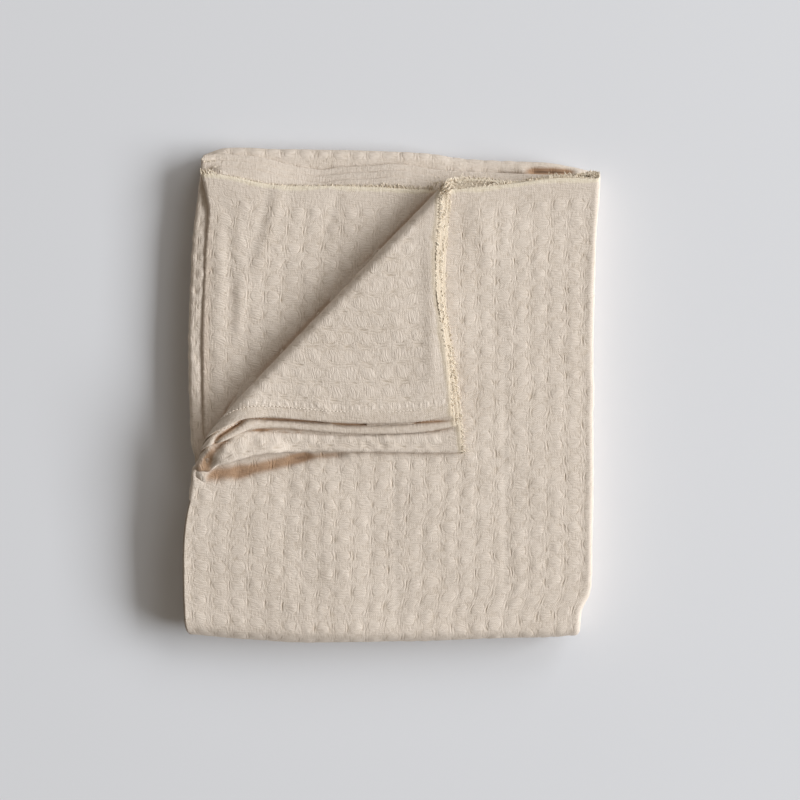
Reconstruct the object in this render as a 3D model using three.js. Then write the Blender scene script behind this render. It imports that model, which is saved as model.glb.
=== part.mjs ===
// A waffle-weave linen blanket, folded to a flat packet with one corner of its top stack turned back.
// It is one sheet: folded in half twice from hem to hem, which makes a strip of four layers, and then
// folded in half twice from selvedge to selvedge, which makes four stacks of that strip.
// Millimetres, +Z up, +Y towards the selvedges, origin under the middle of the packet.
import * as THREE from "three";

// Driving sizes
const CLOTH = 1.0; // thickness of one layer
const HEM = 1.5; // thickness of the turned and stitched ends
const HEM_WIDTH = 9;
const HEM_STEP = 2; // over which a hem thins out to the cloth
const LAYER = 2.1; // from one layer to the next in a stack
const STACK = 9.0; // from one stack of four layers to the next
const HALF_WIDTH = 152.5; // middle of the packet to its left or right edge
const HEM_SETBACK = { first: 10.5, second: 7.3 }; // how far each hem stays inside the left edge
// How far a layer slides at each selvedge, for each millimetre of its height in the stack
const SLIP = { top: 1.2, under: 2.5 };
const COLOUR = 0xcbbfad;

// The turned corner. The crease runs from the rear edge down to the left edge.
const CREASE_ANGLE = THREE.MathUtils.degToRad(46.2);
const CREASE_REACH = 73.7; // from the origin square to the line where the cloth starts to bend
const CREASE_START = -50; // place along the crease where its left end starts to sag and gape
const CREASE_LENGTH = 92; // from there to the left edge
const CREASE_SAG = 10; // how far the left end of the crease bends in towards the front
const BEND_RADIUS = 1.25; // of the inmost layer where the fold is tight
const GAPE = 3; // how much wider the bend is at its left end
const SETTLE = 60; // distance from the crease over which the turned corner comes down again
const FOLD_HOLD = 80; // distance from the soft fold within which its two layers roll over as one
const BEND_STEPS = 6;
const SETTLE_STEPS = 3;
const GAPE_STEPS = 4;

// Edges of the packet seen from above, front to rear: left edge of the lower stacks, left edge of the top
// stack before its corner is turned, and right edge, which is drawn in at the front.
const SIDES = [
  { y: -180, left: -155, topLeft: -155, right: 141.5 },
  { y: -163, left: -155.5, topLeft: -155.5, right: 142.5 },
  { y: -148, left: -156, topLeft: -156, right: 148.5 },
  { y: -110, left: -155.5, topLeft: -155.5, right: 150 },
  { y: -55, left: -150.5, topLeft: -150.5, right: 150.6 },
  { y: -28, left: -152.5, topLeft: -155, right: 150.6 },
  { y: 10, left: -154, topLeft: -151.5, right: 150.7 },
  { y: 60, left: -154, topLeft: -152.5, right: 150.8 },
  { y: 115, left: -151.5, topLeft: -155.5, right: 153 },
  { y: 165, left: -146, topLeft: -158, right: 156 },
  { y: 190, left: -144, topLeft: -158.5, right: 156 },
];

// Edges from left to right: the front roll, the selvedges of the top stack and of the stack under it,
// and the rear roll of the two lowest stacks, which stands out behind the selvedges.
const ENDS = [
  { x: -152, front: -182, top: 159, under: 174, rear: 184 },
  { x: -135, front: -183.5, top: 158.5, under: 175, rear: 189 },
  { x: -95, front: -186.7, top: 156.5, under: 166.5, rear: 188 },
  { x: -40, front: -187.4, top: 151, under: 165.5, rear: 187.3 },
  { x: 20, front: -186.8, top: 155.5, under: 163, rear: 184.7 },
  { x: 50, front: -186, top: 158.3, under: 161.5, rear: 180.7 },
  { x: 90, front: -184.6, top: 162.4, under: 160, rear: 178.5 },
  { x: 120, front: -183.4, top: 166.3, under: 159, rear: 177 },
  { x: 152, front: -181.8, top: 165.8, under: 158, rear: 170 },
];

// How much further in both hems lie along the top stack, from its selvedge at 0 to the front bend at 1.
const HEM_DRIFT = [
  { b: 0, drift: 6.5 },
  { b: 0.06, drift: 3 },
  { b: 0.13, drift: 1 },
  { b: 0.26, drift: 0.8 },
  { b: 0.34, drift: 3 },
  { b: 0.41, drift: 5 },
  { b: 0.47, drift: 4.8 },
  { b: 0.53, drift: 1 },
  { b: 0.6, drift: 0 },
];

// Low, wide waves of the packet's height, as shares of it.
const WAVES = [
  { share: 0.014, toX: 0.021, toY: 0.009, phase: 0.6 },
  { share: 0.011, toX: -0.008, toY: 0.024, phase: 2.1 },
];

// Steps of the mesh on each run of a fold, flats and bends by turns.
const STEPS_ACROSS = [1, 6, 1, 4, 1, 4, 1];
const STEPS_ALONG = [6, 8, 5, 6, 5, 6, 5];
const RUNS = 7;
const FLATS = [0, 2, 4, 6]; // the runs that are flat
const SHARED_LINES = [-143, -134, -100, -40, 20, 85]; // places across where every layer's mesh has a line
const LINE_GAP = 4; // least distance between two lines on a flat
const SNAP = 0.3; // a cut this near to a corner of the mesh goes through the corner
const SLOPE_STEP = 1e-3; // step on a run for reading the slope of the cloth

// Heights of the fold's four flats, in the order in which the cloth passes them.
const LEVELS_ACROSS = [0, 3, 2, 1];
const LEVELS_ALONG = [3, 0, 1, 2];
const MIDDLE_LEVEL = 1.5;
const HALF_STACK = MIDDLE_LEVEL * LAYER; // mid-height of a stack to the middle of its outer layer
const LOWEST_STACK = HALF_STACK + CLOTH / 2; // height of the lowest stack's middle
const TOP_LAYER = LOWEST_STACK + 3 * STACK + HALF_STACK; // height of the top layer's middle

const { lerp, smoothstep } = THREE.MathUtils;

/** A smooth curve through a table's rows, read at one place. */
function readTable(table, key, column, place) {
  const last = table.length - 1;
  let i = 0;
  while (i < last - 1 && place > table[i + 1][key]) i += 1;
  const slopeAt = (k) => {
    const before = table[Math.max(k - 1, 0)];
    const after = table[Math.min(k + 1, last)];
    return (after[column] - before[column]) / (after[key] - before[key]);
  };
  const span = table[i + 1][key] - table[i][key];
  const f = THREE.MathUtils.clamp((place - table[i][key]) / span, 0, 1);
  const bulge = f * (1 - f) * span * (slopeAt(i) * (1 - f) - slopeAt(i + 1) * f);
  const ease = f * f * (3 - 2 * f);
  return lerp(table[i][column], table[i + 1][column], ease) + bulge;
}

/**
 * The section of cloth folded in half twice. run goes from 0 to 7, flats and bends by turns: a flat from the
 * start to the far edge, a bend there, a flat to the near edge, and so on. Gives a place and the way it runs.
 */
function bookFold(run, { levels, pitch, start, far, near, end }) {
  const index = Math.min(Math.floor(run), RUNS - 1);
  const f = run - index;
  const flat = Math.floor(index / 2);
  if (index % 2 === 0) {
    const stops = [start, far, near, far, end];
    const way = Math.sign(stops[flat + 1] - stops[flat]);
    return { along: lerp(stops[flat], stops[flat + 1], f), height: levels[flat] * pitch, way: [way, 0] };
  }
  const axis = flat === 1 ? near : far;
  const outward = flat === 1 ? Math.sign(near - far) : Math.sign(far - near);
  const rise = levels[flat + 1] - levels[flat];
  const radius = (Math.abs(rise) * pitch) / 2;
  const angle = Math.PI * f;
  return {
    along: axis + outward * radius * Math.sin(angle),
    height: ((levels[flat] + levels[flat + 1]) / 2) * pitch - Math.sign(rise) * radius * Math.cos(angle),
    way: [outward * Math.cos(angle), Math.sign(rise) * Math.sin(angle)],
  };
}

/** The first folding, hem to hem: place across the packet, and height from the middle of the stack. */
function foldAcross(run, b) {
  const drift = readTable(HEM_DRIFT, "b", "drift", b);
  const fold = bookFold(run, {
    levels: LEVELS_ACROSS,
    pitch: LAYER,
    start: HEM_SETBACK.first + drift - HALF_WIDTH,
    far: HALF_WIDTH - HALF_STACK - CLOTH / 2,
    near: (LAYER + CLOTH) / 2 - HALF_WIDTH,
    end: HEM_SETBACK.second + drift - HALF_WIDTH,
  });
  return { across: fold.along, height: fold.height - HALF_STACK };
}

/** The second folding, selvedge to selvedge, of a layer at one height in the strip. */
function foldAlong(run, across, height) {
  const edge = (column) => readTable(ENDS, "x", column, across);
  const thick = HALF_STACK + CLOTH / 2;
  const fold = bookFold(run, {
    levels: LEVELS_ALONG,
    pitch: STACK,
    start: edge("top") - SLIP.top * height,
    far: edge("front") + MIDDLE_LEVEL * STACK + thick,
    near: edge("rear") - STACK / 2 - thick,
    end: edge("under") + SLIP.under * height,
  });
  const [wayY, wayZ] = fold.way;
  return { y: fold.along + wayZ * height, z: LOWEST_STACK + fold.height - wayY * height };
}

/** How far a point lies past the line where the turned corner bends, and the bend there. */
function creaseAt({ place, roll }) {
  const along = place.x * Math.cos(CREASE_ANGLE) + place.y * Math.sin(CREASE_ANGLE);
  const reach = place.y * Math.cos(CREASE_ANGLE) - place.x * Math.sin(CREASE_ANGLE);
  const toLeft = Math.max(0, (CREASE_START - along) / CREASE_LENGTH);
  const gape = GAPE * smoothstep(toLeft, 0, 1);
  const centre = TOP_LAYER + BEND_RADIUS + gape;
  const start = CREASE_REACH - CREASE_SAG * toLeft * toLeft;
  const radii = { radius: centre - place.z, rollRadius: centre - roll };
  return { along, start, past: reach - start, gape, centre, ...radii };
}

/** Turns the corner of the top stack over, each layer round its own radius. */
function turnCorner(folded) {
  const { along, start, past, gape, centre, radius, rollRadius } = creaseAt(folded);
  if (past <= 0) return folded.place;
  const angle = Math.min(past / rollRadius, Math.PI);
  const beyond = past - angle * rollRadius;
  const reach = start + radius * Math.sin(angle) - beyond;
  const x = along * Math.cos(CREASE_ANGLE) - reach * Math.sin(CREASE_ANGLE);
  const y = along * Math.sin(CREASE_ANGLE) + reach * Math.cos(CREASE_ANGLE);
  const z = centre - radius * Math.cos(angle) - 2 * gape * smoothstep(beyond, 0, SETTLE);
  return new THREE.Vector3(x, y, z);
}

/** Height of the layer that a point rolls over with. Next to the soft fold its two layers roll as one. */
function rollHeight(across, height) {
  if (height <= 0) return height;
  return lerp(LAYER, height, smoothstep(across + HALF_WIDTH, 0, FOLD_HOLD));
}

/** A place on the folded strip before its corner is turned. a runs hem to hem, b selvedge to selvedge. */
function foldedPlace(a, b) {
  const { across, height } = foldAcross(a, b);
  const { y, z } = foldAlong(b, across, height);
  const share = (across + HALF_WIDTH) / (2 * HALF_WIDTH);
  const left = readTable(SIDES, "y", b < 1 ? "topLeft" : "left", y);
  const right = readTable(SIDES, "y", "right", y);
  const place = new THREE.Vector3(lerp(left, right, share), y, z);
  return { place, roll: z - height + rollHeight(across, height) };
}

/** How much higher than level the packet lies at a place, as a share of its height. */
function swellAt({ x, y }) {
  const shares = WAVES.map(({ share, toX, toY, phase }) => share * Math.sin(toX * x + toY * y + phase));
  return shares.reduce((sum, share) => sum + share, 0);
}

/** The middle of the cloth in the finished packet. */
function clothPlace(a, b) {
  const folded = foldedPlace(a, b);
  const place = b < 1 ? turnCorner(folded) : folded.place;
  place.z = CLOTH / 2 + (place.z - CLOTH / 2) * (1 + swellAt(place));
  return place;
}

/** The direction square to the cloth. */
function clothNormal(a, b) {
  const ends = (v) => [Math.max(v - SLOPE_STEP, 0), Math.min(v + SLOPE_STEP, RUNS)];
  const [a0, a1] = ends(a);
  const [b0, b1] = ends(b);
  const alongA = clothPlace(a1, b).sub(clothPlace(a0, b));
  const alongB = clothPlace(a, b1).sub(clothPlace(a, b0));
  return alongA.cross(alongB).normalize();
}

/** Length of the flat run that ends in a hem. */
function hemRun(setback) {
  return 2 * HALF_WIDTH - setback - HALF_STACK - CLOTH / 2;
}

/** Half the cloth's thickness, which is greater in the hems. */
function halfThickness(a) {
  const toHem = Math.min(a * hemRun(HEM_SETBACK.first), (RUNS - a) * hemRun(HEM_SETBACK.second));
  return lerp(HEM, CLOTH, smoothstep(toHem, HEM_WIDTH, HEM_WIDTH + HEM_STEP)) / 2;
}

/** Stations along a fold, with even steps on each run. */
function evenStations(steps) {
  const even = steps.flatMap((count, run) => Array.from({ length: count }, (_, i) => run + i / count));
  return [...even, RUNS];
}

/** Lines of the hems, as places on the first and the last run. */
function hemLines() {
  const widths = [HEM_WIDTH, HEM_WIDTH + HEM_STEP];
  return widths.flatMap((w) => [w / hemRun(HEM_SETBACK.first), RUNS - w / hemRun(HEM_SETBACK.second)]);
}

/** Stations from hem to hem: on the bends, at the hems, and on the flats at the lines that layers share. */
function columnStations() {
  const columns = [...evenStations(STEPS_ACROSS), ...hemLines()];
  for (const flat of FLATS) {
    const start = foldAcross(flat, RUNS).across;
    const length = foldAcross(flat + 1, RUNS).across - start;
    for (const line of SHARED_LINES) {
      const a = flat + (line - start) / length;
      const inside = a > flat && a < flat + 1;
      const clear = columns.every((other) => Math.abs((other - a) * length) > LINE_GAP);
      if (inside && clear) columns.push(a);
    }
  }
  return columns.sort((p, q) => p - q);
}

/** A net of polygons over the sheet: points are places on the two folds. */
function sheetNet() {
  const columns = columnStations();
  const rows = evenStations(STEPS_ALONG);
  const points = rows.flatMap((b) => columns.map((a) => ({ a, b })));
  const polygons = [];
  for (let j = 0; j < rows.length - 1; j += 1) {
    for (let i = 0; i < columns.length - 1; i += 1) {
      const corner = j * columns.length + i;
      polygons.push([corner, corner + 1, corner + columns.length + 1, corner + columns.length]);
    }
  }
  return { points, polygons };
}

/** Cuts the net along the line where a measure of its points is zero, in the polygons that are allowed. */
function cutNet(net, measure, allowed) {
  const values = new Map();
  const cuts = new Map();
  const edgeKey = (i, j) => (i < j ? `${i} ${j}` : `${j} ${i}`);
  const valueOf = (i) => {
    if (!values.has(i)) {
      const value = measure(net.points[i]);
      values.set(i, Math.abs(value) < SNAP ? 0 : value);
    }
    return values.get(i);
  };
  const cutBetween = (i, j) => {
    const key = edgeKey(i, j);
    if (!cuts.has(key)) {
      const f = valueOf(i) / (valueOf(i) - valueOf(j));
      const [p, q] = [net.points[i], net.points[j]];
      cuts.set(key, net.points.push({ a: lerp(p.a, q.a, f), b: lerp(p.b, q.b, f) }) - 1);
      values.set(cuts.get(key), 0);
    }
    return cuts.get(key);
  };
  const halves = (polygon) => {
    if (!polygon.every((i) => allowed(net.points[i]))) return [polygon];
    const sides = polygon.map(valueOf);
    if (sides.every((v) => v >= 0) || sides.every((v) => v <= 0)) return [polygon];
    const before = [];
    const after = [];
    polygon.forEach((i, k) => {
      const next = polygon[(k + 1) % polygon.length];
      if (valueOf(i) <= 0) before.push(i);
      if (valueOf(i) >= 0) after.push(i);
      if (valueOf(i) * valueOf(next) < 0) {
        const cut = cutBetween(i, next);
        before.push(cut);
        after.push(cut);
      }
    });
    return [before, after];
  };
  const withCuts = (polygon) =>
    polygon.flatMap((i, k) => {
      const key = edgeKey(i, polygon[(k + 1) % polygon.length]);
      return cuts.has(key) ? [i, cuts.get(key)] : [i];
    });
  net.polygons = net.polygons.flatMap(halves).map(withCuts);
}

/** Cuts the net along the bend of the turned corner, behind it where it settles, and across its open end. */
function cutCrease(net) {
  const crease = ({ a, b }) => creaseAt(foldedPlace(a, b));
  const onTop = ({ b }) => b <= 1;
  const turned = (point) => onTop(point) && crease(point).past > -SNAP;
  const lines = [];
  for (let k = 0; k <= BEND_STEPS; k += 1) {
    lines.push({ turn: (Math.PI * k) / BEND_STEPS, beyond: 0 });
  }
  for (let k = 1; k <= SETTLE_STEPS; k += 1) {
    lines.push({ turn: Math.PI, beyond: (SETTLE * k) / SETTLE_STEPS });
  }
  for (const { turn, beyond } of lines) {
    const measure = (point) => {
      const { past, rollRadius } = crease(point);
      return past - turn * rollRadius - beyond;
    };
    cutNet(net, measure, onTop);
  }
  for (let k = 0; k <= GAPE_STEPS; k += 1) {
    const place = CREASE_START - (CREASE_LENGTH * k) / GAPE_STEPS;
    cutNet(net, (point) => crease(point).along - place, turned);
  }
}

/** Splits a polygon of the net into triangles round the corner that keeps them widest. */
function fanOf(net, polygon) {
  const area = (triangle) => {
    const [p, q, r] = triangle.map((i) => net.points[i]);
    return Math.abs((q.a - p.a) * (r.b - p.b) - (r.a - p.a) * (q.b - p.b));
  };
  const fans = polygon.map((apex, k) => {
    const rest = [...polygon.slice(k + 1), ...polygon.slice(0, k)];
    return rest.slice(1).map((q, j) => [apex, rest[j], q]);
  });
  const least = fans.map((fan) => Math.min(...fan.map(area)));
  return fans[least.indexOf(Math.max(...least))];
}

/** Edges of the net that only one polygon has, in that polygon's order. */
function openEdges(triangles) {
  const seen = new Set(triangles.flatMap(([p, q, r]) => [`${p} ${q}`, `${q} ${r}`, `${r} ${p}`]));
  const edges = triangles.flatMap(([p, q, r]) => [[p, q], [q, r], [r, p]]);
  return edges.filter(([p, q]) => !seen.has(`${q} ${p}`));
}

/** The blanket as one closed solid. */
function blanketGeometry() {
  const net = sheetNet();
  cutCrease(net);
  const triangles = net.polygons.flatMap((polygon) => fanOf(net, polygon));
  const upper = [];
  const lower = [];
  for (const { a, b } of net.points) {
    const place = clothPlace(a, b);
    const half = clothNormal(a, b).multiplyScalar(halfThickness(a));
    upper.push(...place.clone().add(half).toArray());
    lower.push(...place.clone().sub(half).toArray());
  }
  const count = net.points.length;
  const faces = [];
  for (const [p, q, r] of triangles) {
    faces.push(p, q, r);
    faces.push(r + count, q + count, p + count);
  }
  for (const [p, q] of openEdges(triangles)) {
    faces.push(q, p, p + count);
    faces.push(q, p + count, q + count);
  }
  const geometry = new THREE.BufferGeometry();
  geometry.setAttribute("position", new THREE.Float32BufferAttribute([...upper, ...lower], 3));
  geometry.setIndex(faces);
  return geometry;
}

/** Sets a geometry on its lowest point, with its middle over the origin. */
function standOnOrigin(geometry) {
  geometry.computeBoundingBox();
  const { min, max } = geometry.boundingBox;
  return geometry.translate(-(min.x + max.x) / 2, -(min.y + max.y) / 2, -min.z);
}

const linen = new THREE.MeshStandardMaterial({ color: COLOUR, roughness: 0.95, metalness: 0 });
const geometry = standOnOrigin(blanketGeometry());
geometry.computeVertexNormals();
const blanket = new THREE.Mesh(geometry, linen);
blanket.name = "blanket";

const packet = new THREE.Group();
packet.add(blanket);
export default packet;
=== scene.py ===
# A waffle-weave linen blanket, folded to a flat packet with one corner of its top stack turned back.
# The cloth is worked out here in millimetres from the same folds as the solid, as one closed sheet with
# its waffle relief, and set in the scene in metres. The selvedge loops and the hem stitches are pieces of
# their own.
import math

import bpy
import numpy as np
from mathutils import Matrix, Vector


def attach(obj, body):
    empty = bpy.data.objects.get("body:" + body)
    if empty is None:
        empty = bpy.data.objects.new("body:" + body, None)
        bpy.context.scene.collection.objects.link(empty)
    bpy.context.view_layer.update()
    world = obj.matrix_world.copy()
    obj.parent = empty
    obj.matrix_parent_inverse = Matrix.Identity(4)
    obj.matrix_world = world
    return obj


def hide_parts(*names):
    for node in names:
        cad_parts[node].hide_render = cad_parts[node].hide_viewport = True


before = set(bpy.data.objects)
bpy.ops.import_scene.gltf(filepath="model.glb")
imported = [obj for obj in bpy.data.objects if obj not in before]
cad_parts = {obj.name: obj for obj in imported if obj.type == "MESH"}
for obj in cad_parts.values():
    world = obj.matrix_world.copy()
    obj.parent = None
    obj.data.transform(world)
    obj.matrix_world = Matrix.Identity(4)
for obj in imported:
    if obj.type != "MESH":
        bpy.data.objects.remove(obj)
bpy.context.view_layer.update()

MM = 0.001

# Sizes of the folded packet, in millimetres
CLOTH = 1.0  # thickness of one layer
HEM = 1.5  # thickness of the turned ends
HEM_WIDTH = 9.0
HEM_STEP = 2.0
LAYER = 2.1  # from one layer to the next in a stack
STACK = 9.0  # from one stack of four layers to the next
HALF_WIDTH = 152.5
FIRST_HEM_SETBACK = 10.5
SECOND_HEM_SETBACK = 7.3
TOP_SLIP = 1.2  # how far a layer slides at a selvedge, for each millimetre of its height in the stack
UNDER_SLIP = 2.5
MIDDLE = (0.241, 0.832)  # middle of the packet's box, which lies over the origin

# The turned corner
CREASE_ANGLE = math.radians(46.2)
CREASE_COS, CREASE_SIN = math.cos(CREASE_ANGLE), math.sin(CREASE_ANGLE)
CREASE_REACH = 73.7
CREASE_START = -50.0
CREASE_LENGTH = 92.0
CREASE_SAG = 10.0
BEND_RADIUS = 1.25
GAPE = 3.0
SETTLE = 60.0
FOLD_HOLD = 80.0

# The first hem where it lies bare on the stack below: its edge is tucked under, round a small roll
TUCK = 9.0
TUCK_RADIUS = 0.9
TUCK_RUNS = (6.05, 6.3)  # over which it comes in, on the runs from selvedge to selvedge
FIRST_FLAT = 290.0  # cloth from the first hem to the first fold

# Edges of the packet from front to rear
SIDES = [
    dict(y=-180, left=-155, top_left=-155, right=141.5),
    dict(y=-163, left=-155.5, top_left=-155.5, right=142.5),
    dict(y=-148, left=-156, top_left=-156, right=148.5),
    dict(y=-110, left=-155.5, top_left=-155.5, right=150),
    dict(y=-55, left=-150.5, top_left=-150.5, right=150.6),
    dict(y=-28, left=-152.5, top_left=-155, right=150.6),
    dict(y=10, left=-154, top_left=-151.5, right=150.7),
    dict(y=60, left=-154, top_left=-152.5, right=150.8),
    dict(y=115, left=-151.5, top_left=-155.5, right=153),
    dict(y=165, left=-146, top_left=-158, right=156),
    dict(y=190, left=-144, top_left=-158.5, right=156),
]

# Edges of the packet from left to right
ENDS = [
    dict(x=-152, front=-182, top=159, under=174, rear=184),
    dict(x=-135, front=-183.5, top=158.5, under=175, rear=189),
    dict(x=-95, front=-186.7, top=156.5, under=166.5, rear=188),
    dict(x=-40, front=-187.4, top=151, under=165.5, rear=187.3),
    dict(x=20, front=-186.8, top=155.5, under=163, rear=184.7),
    dict(x=50, front=-186, top=158.3, under=161.5, rear=180.7),
    dict(x=90, front=-184.6, top=162.4, under=160, rear=178.5),
    dict(x=120, front=-183.4, top=166.3, under=159, rear=177),
    dict(x=152, front=-181.8, top=165.8, under=158, rear=170),
]

# How much further in both hems lie along the top stack
HEM_DRIFT = [
    dict(b=0, drift=6.5),
    dict(b=0.06, drift=3),
    dict(b=0.13, drift=1),
    dict(b=0.26, drift=0.8),
    dict(b=0.34, drift=3),
    dict(b=0.41, drift=5),
    dict(b=0.47, drift=4.8),
    dict(b=0.53, drift=1),
    dict(b=0.6, drift=0),
]

# Low, wide waves of the packet's height, as shares of it
WAVES = [
    dict(share=0.014, to_x=0.021, to_y=0.009, phase=0.6),
    dict(share=0.011, to_x=-0.008, to_y=0.024, phase=2.1),
]
LOW_CORNER = 0.15  # how much lower the packet is at its front left corner, as a share

# Soft folds of the cloth that shows: lines in the packet's frame, and how far cloth on a line is pushed
SOFT_FOLDS = [
    dict(on="under", start=(-92, 158), end=(-109, 98), width=4.0, push=(0, 0, -0.5)),
    dict(on="under", start=(-83, 158), end=(-99, 98), width=5.0, push=(0, 0, 0.6)),
    dict(on="under", start=(-126, 156), end=(-120, 40), width=5.0, push=(0, 0, -0.6)),
    dict(on="under", start=(-112, 90), end=(-118, 40), width=5.0, push=(0, 0, 0.7)),
    dict(on="under", start=(-40, 154), end=(-52, 112), width=4.0, push=(0, 0, -0.5)),
    dict(on="under", start=(-141.5, 172), end=(-143.5, -45), width=9.0, push=(0, 0, -1.2)),
    dict(on="under", start=(-127, -12), end=(65, 187), width=3.0, push=(0, 0, -1.8)),
    dict(on="under", start=(-112, 4), end=(-152, -52), width=3.0, push=(0, 0, -1.8)),
    dict(on="under", start=(-133, 260), end=(-141, 150), width=26.0, push=(-10.5, 0, 0.6)),
    dict(on="soft_edge", start=(-143.5, 140), end=(-148.3, 40), width=7.0, push=(0, 0, 1.8)),
    dict(on="soft_edge", start=(-148, 50), end=(-148.5, -50), width=7.0, push=(0, 0, 1.8)),
    dict(on="second_under", start=(-147, 200), end=(-147, -80), width=12.0, push=(5.5, 0, 0)),
    dict(on="below_under", start=(-98, 200), end=(-98, 130), width=16.0, push=(0, 4.0, 0.5)),
    dict(on="below_under", start=(-55, 200), end=(-55, 130), width=13.0, push=(0, -3.0, -0.3)),
    dict(on="below_under", start=(5, 200), end=(5, 130), width=18.0, push=(0, 3.5, 0.5)),
    dict(on="flap", start=(-58, -5), end=(-46, -14), width=3.0, push=(0, 0, 0.6)),
    dict(on="flap", start=(28, 120), end=(30, 5), width=5.0, push=(0, 0, 0.8)),
    dict(on="rolled", start=(-152, -52), end=(-132, -53), width=8.0, push=(-0.5, -4.5, -2.5)),
    dict(on="flap", start=(-132, -51), end=(-80, -42), width=9.0, push=(0, 0, 4.0)),
    dict(on="first_hem", start=(-137, -41), end=(-98, -13), width=8.0, push=(0, 0, 2.0)),
    dict(on="first_hem", start=(-120, -16), end=(60, -14), width=8.0, push=(0, 0, 1.6)),
    dict(on="below_first", start=(-141, -48.5), end=(-128, -31), width=1.7, push=(0, 0, -3.8)),
    dict(on="below_first", start=(-132, -34), end=(-110, -19), width=2.2, push=(0, 0, -5.5)),
    dict(on="below_first", start=(-125, -17), end=(-35, -21.5), width=1.9, push=(0, 0, -4.0)),
    dict(on="below_first", start=(-44, -23.2), end=(46, -20), width=1.9, push=(0, 0, -4.0)),
    dict(on="below_second", start=(-139.5, -49.5), end=(-121, -31.5), width=2.4, push=(0, 0, -4.5)),
    dict(on="below_second", start=(-125, -25.6), end=(-35, -29.7), width=1.8, push=(0, 0, -3.2)),
    dict(on="below_second", start=(-44, -30), end=(46, -25.8), width=1.8, push=(0, 0, -3.2)),
    dict(on="packet", start=(-146, -61.5), end=(-108, -58), width=6.5, push=(0, 0, -2.8)),
    dict(on="packet", start=(-116, -59), end=(-62, -46.5), width=5.5, push=(0, 0, -3.0)),
    dict(on="packet", start=(-76, -48), end=(-34, -45), width=3.5, push=(0, 0, -2.0)),
    dict(on="below_top", start=(60, 164), end=(150, 171), width=8.0, push=(0, -6.0, 0)),
    dict(on="rear", start=(101, 169.5), end=(139, 169), width=3.6, push=(0, 0, -4.6)),
    dict(on="rear", start=(76, 164.5), end=(100, 165.5), width=3.2, push=(0, 0, -4.4)),
    dict(on="top", start=(-220, -181), end=(220, -181), width=7.0, push=(0, -0.8, 3.0)),
    dict(on="top", start=(147.3, -190), end=(149.1, 10), width=1.8, push=(0.9, 0, 0.8)),
    dict(on="top", start=(149.1, -10), end=(149.3, 90), width=1.8, push=(0.9, 0, 0.8)),
    dict(on="top", start=(149.4, 80), end=(155.3, 180), width=1.8, push=(0.9, 0, 0.8)),
    dict(on="packet", start=(-157, -260), end=(-155, -60), width=30.0, push=(-3.2, 0, 0)),
    dict(on="top", start=(2, -45), end=(3, -175), width=3.0, push=(0, 0, -0.4)),
    dict(on="top", start=(84, 60), end=(85, -175), width=3.0, push=(0, 0, -0.4)),
    dict(on="top", start=(-60, -60), end=(-30, -150), width=14.0, push=(0, 0, 0.6)),
    dict(on="top", start=(60, 150), end=(75, 90), width=7.0, push=(0, 0, 0.7)),
]

RUNS = 7  # flats and bends by turns on each of the two folds
ACROSS_LEVELS = np.array([0.0, 3.0, 2.0, 1.0])
ALONG_LEVELS = np.array([3.0, 0.0, 1.0, 2.0])
HALF_STACK = 1.5 * LAYER
STACK_REACH = HALF_STACK + CLOTH / 2  # middle of a stack to its outside
LOWEST_STACK = STACK_REACH
TOP_LAYER = LOWEST_STACK + 3 * STACK + HALF_STACK
FAR_ACROSS = HALF_WIDTH - STACK_REACH
NEAR_ACROSS = (LAYER + CLOTH) / 2 - HALF_WIDTH

# The cloth laid flat
CLOTH_WIDTH = 1201.0  # hem to hem
CLOTH_LENGTH = 1420.0  # selvedge to selvedge
HEM_BAND = 10.0  # plain cloth next to a hem
SELVEDGE_BAND = 14.0  # plain cloth next to a selvedge
CELLS_ACROSS = 90
CELLS_ALONG = 108
FINEST = 8  # most mesh steps in a waffle cell
CELL_U = (CLOTH_WIDTH - 2 * HEM_BAND) / CELLS_ACROSS
CELL_V = (CLOTH_LENGTH - 2 * SELVEDGE_BAND) / CELLS_ALONG


def smoothstep(value, low, high):
    """Eases from 0 at low to 1 at high."""
    f = np.clip((value - low) / (high - low), 0, 1)
    return f * f * (3 - 2 * f)


def read_table(table, key, name, place):
    """A smooth curve through a table's rows, read at many places."""
    keys, values = (np.array([row[column] for row in table], float) for column in (key, name))
    last = len(keys) - 1
    before = np.maximum(np.arange(last + 1) - 1, 0)
    after = np.minimum(np.arange(last + 1) + 1, last)
    slope = (values[after] - values[before]) / (keys[after] - keys[before])
    i = np.clip(np.searchsorted(keys, place) - 1, 0, last - 1)
    span = keys[i + 1] - keys[i]
    f = np.clip((place - keys[i]) / span, 0, 1)
    bulge = f * (1 - f) * span * (slope[i] * (1 - f) - slope[i + 1] * f)
    return values[i] + (values[i + 1] - values[i]) * f * f * (3 - 2 * f) + bulge


def book_fold(run, levels, pitch, stops):
    """Cloth folded in half twice. stops are start, far edge, near edge, far edge and end, for every run."""
    index = np.minimum(np.floor(run), RUNS - 1).astype(int)
    f = run - index
    flat = index // 2
    is_flat = index % 2 == 0
    stops = np.stack(np.broadcast_arrays(*stops, run)[:-1])
    here = np.take_along_axis(stops, flat[None], 0)[0]
    there = np.take_along_axis(stops, flat[None] + 1, 0)[0]
    far, near = stops[1], stops[2]
    outward = np.where(flat == 1, np.sign(near - far), np.sign(far - near))
    low, high = levels[flat], levels[np.minimum(flat + 1, 3)]
    rise = np.sign(high - low)
    radius = np.abs(high - low) * pitch / 2
    turn = np.pi * f
    bent_along = np.where(flat == 1, near, far) + outward * radius * np.sin(turn)
    bent_height = (low + high) / 2 * pitch - rise * radius * np.cos(turn)
    along = np.where(is_flat, here + (there - here) * f, bent_along)
    height = np.where(is_flat, low * pitch, bent_height)
    way = np.where(is_flat, np.sign(there - here), outward * np.cos(turn))
    climb = np.where(is_flat, 0.0, rise * np.sin(turn))
    return along, height, way, climb


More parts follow.
